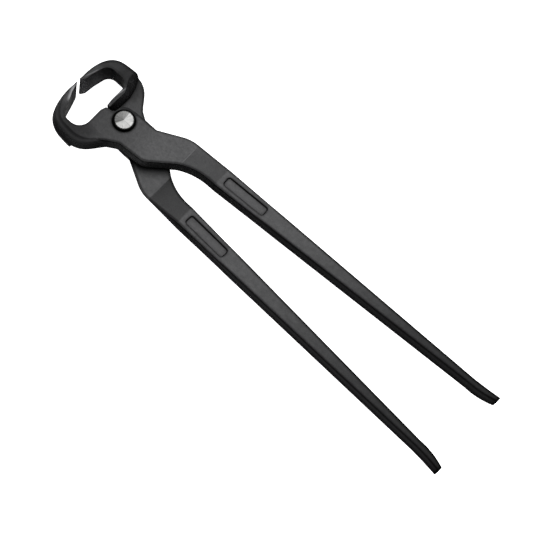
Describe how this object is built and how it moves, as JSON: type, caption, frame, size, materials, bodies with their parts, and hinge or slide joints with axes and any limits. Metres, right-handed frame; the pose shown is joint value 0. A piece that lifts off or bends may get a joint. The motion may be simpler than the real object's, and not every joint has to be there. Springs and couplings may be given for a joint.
{
  "type": "hoof nippers",
  "caption": "Forged pincer-type nippers: two crossed levers on a rivet, with broad hooked jaws, a round throat between them and long tapering reins.",
  "frame": {"origin": "on the pivot axis, at the back face of the anvil lever's boss", "axes": "+X from the pivot towards the rein ends, midway between the reins; +Z along the pivot axis, out through the rivet's head"},
  "size_m": [0.3579, 0.07, 0.0268],
  "materials": {
    "lever": "forged steel with a satin black oxide finish",
    "rivet": "bright ground steel head"
  },
  "bodies": {
    "anvil_half": {"anvil_lever": "lever", "pivot_rivet": "rivet"},
    "cutting_half": {"cutting_lever": "lever"}
  },
  "joints": [
    {"name": "pivot", "type": "hinge", "parent": "anvil_half", "child": "cutting_half", "pos_m": [0, 0, 0.0121], "axis": [0, 0, 1], "range_deg": [-3.9, 75]}
  ]
}
